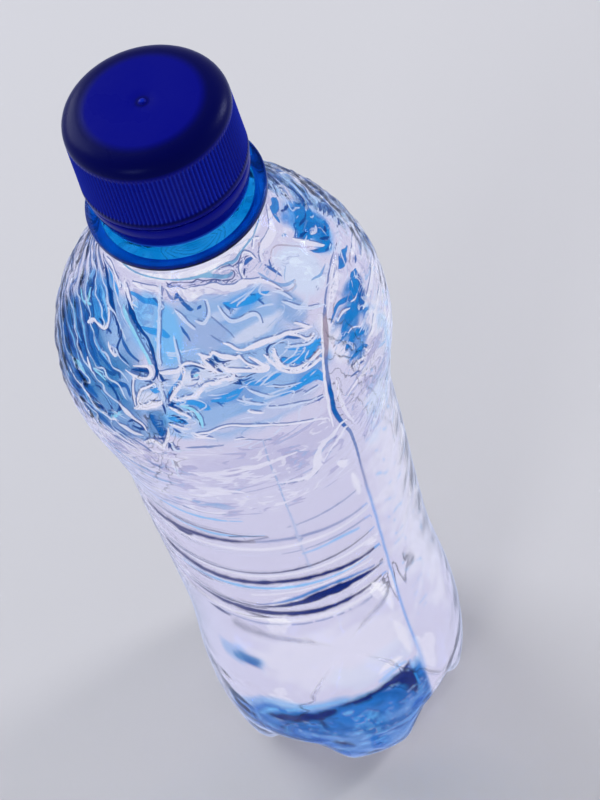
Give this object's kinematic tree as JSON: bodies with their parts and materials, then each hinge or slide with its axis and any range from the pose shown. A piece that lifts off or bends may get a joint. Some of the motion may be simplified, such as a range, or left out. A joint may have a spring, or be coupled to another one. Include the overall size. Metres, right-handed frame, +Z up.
{
  "type": "crushed plastic bottle",
  "caption": "Empty blue-tinted clear plastic drink bottle with grip ribs, petal base, wrinkled shoulder and a long crease, its knurled screw cap on over a tamper band.",
  "frame": {"origin": "under the middle of the bottle, on the plane its feet stand on", "axes": "+Z up along the bottle's axis to the cap; -Y is the front, where one foot points and the long crease lies to its right; +X is the right of the front"},
  "size_m": [0.0674, 0.0674, 0.2255],
  "materials": {
    "clear_plastic": "clear, faintly blue PET, glossy",
    "cap_plastic": "royal blue polyethylene, satin",
    "band_plastic": "royal blue polyethylene, satin"
  },
  "bodies": {
    "bottle": {"bottle": "clear_plastic", "tamper_band": "band_plastic"},
    "cap": {"cap": "cap_plastic"}
  },
  "joints": [
    {"name": "cap_lift", "type": "slide", "parent": "bottle", "child": "cap", "axis": [0, 0, 1], "range_m": [0, 0.04]}
  ]
}
